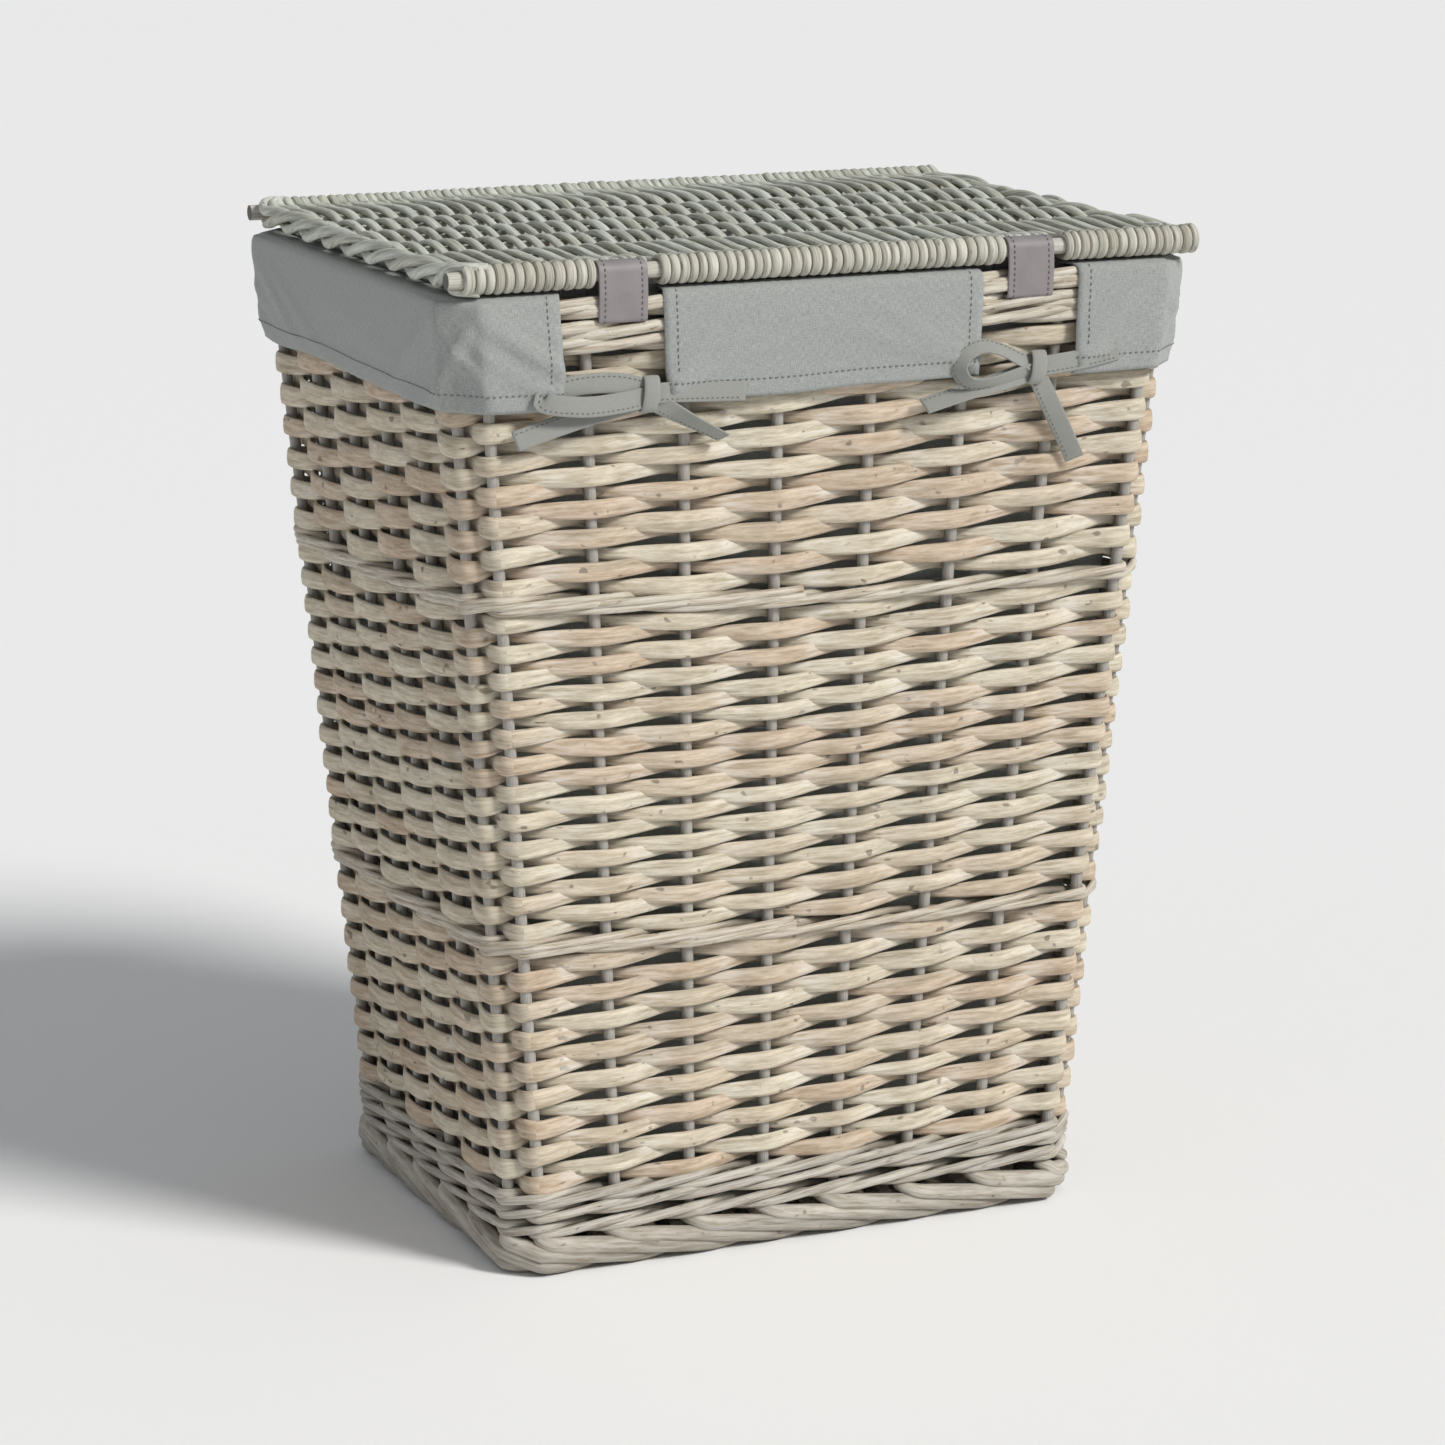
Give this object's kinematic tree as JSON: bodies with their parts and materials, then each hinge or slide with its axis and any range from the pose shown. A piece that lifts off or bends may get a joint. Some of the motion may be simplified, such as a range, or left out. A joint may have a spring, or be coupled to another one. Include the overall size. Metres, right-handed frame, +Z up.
{
  "type": "lidded woven laundry basket",
  "caption": "Tall tapered rectangular laundry basket woven from willow, with a linen liner folded over the rim and tied in bows, and a woven lid on leather strap hinges.",
  "frame": {"origin": "on the floor at the middle of the foot", "axes": "+Z up, +X along the long side, -Y towards the hinge side with the straps and bows"},
  "size_m": [0.4486, 0.345, 0.579],
  "materials": {
    "willow_weavers": "whitewashed split willow, matt",
    "willow_rods": "round willow rods, grey wash, matt",
    "willow_stakes": "round willow uprights, grey wash, matt",
    "lid_rods": "thin willow rods, grey-green wash, matt",
    "lid_wraps": "flat willow weavers, pale wash, matt",
    "linen": "grey-green heathered linen",
    "tape": "narrow folded linen tape",
    "strap_leather": "matt taupe leather, stitched edges"
  },
  "bodies": {
    "basket": {"foot_border": "willow_rods", "foot_wale": "willow_rods", "base_sticks": "willow_stakes", "base_weave": "willow_weavers", "lower_weave": "willow_weavers", "lower_wale": "willow_rods", "middle_weave": "willow_weavers", "upper_wale": "willow_rods", "upper_weave": "willow_weavers", "rim_wale": "willow_rods", "rim_border": "willow_rods", "front_stakes": "willow_stakes", "back_stakes": "willow_stakes", "left_stakes": "willow_stakes", "right_stakes": "willow_stakes", "liner_bag": "linen", "liner_cuff_front": "linen", "liner_cuff_sides": "linen", "left_tie_knot": "tape", "left_tie_loop": "tape", "left_tie_tails": "tape", "right_tie_knot": "tape", "right_tie_loop": "tape", "right_tie_tails": "tape", "left_hinge_strap": "strap_leather", "right_hinge_strap": "strap_leather"},
    "lid": {"lid_front_rod": "lid_rods", "lid_back_rod": "lid_rods", "lid_cross_sticks": "lid_rods", "lid_weave": "lid_rods", "lid_front_wrap": "lid_wraps", "lid_back_wrap": "lid_wraps", "lid_left_braid": "lid_rods", "lid_right_braid": "lid_rods"}
  },
  "joints": [
    {"name": "lid_hinge", "type": "hinge", "parent": "basket", "child": "lid", "pos_m": [0, -0.164, 0.5705], "axis": [1, 0, 0], "range_deg": [0, 195]}
  ]
}
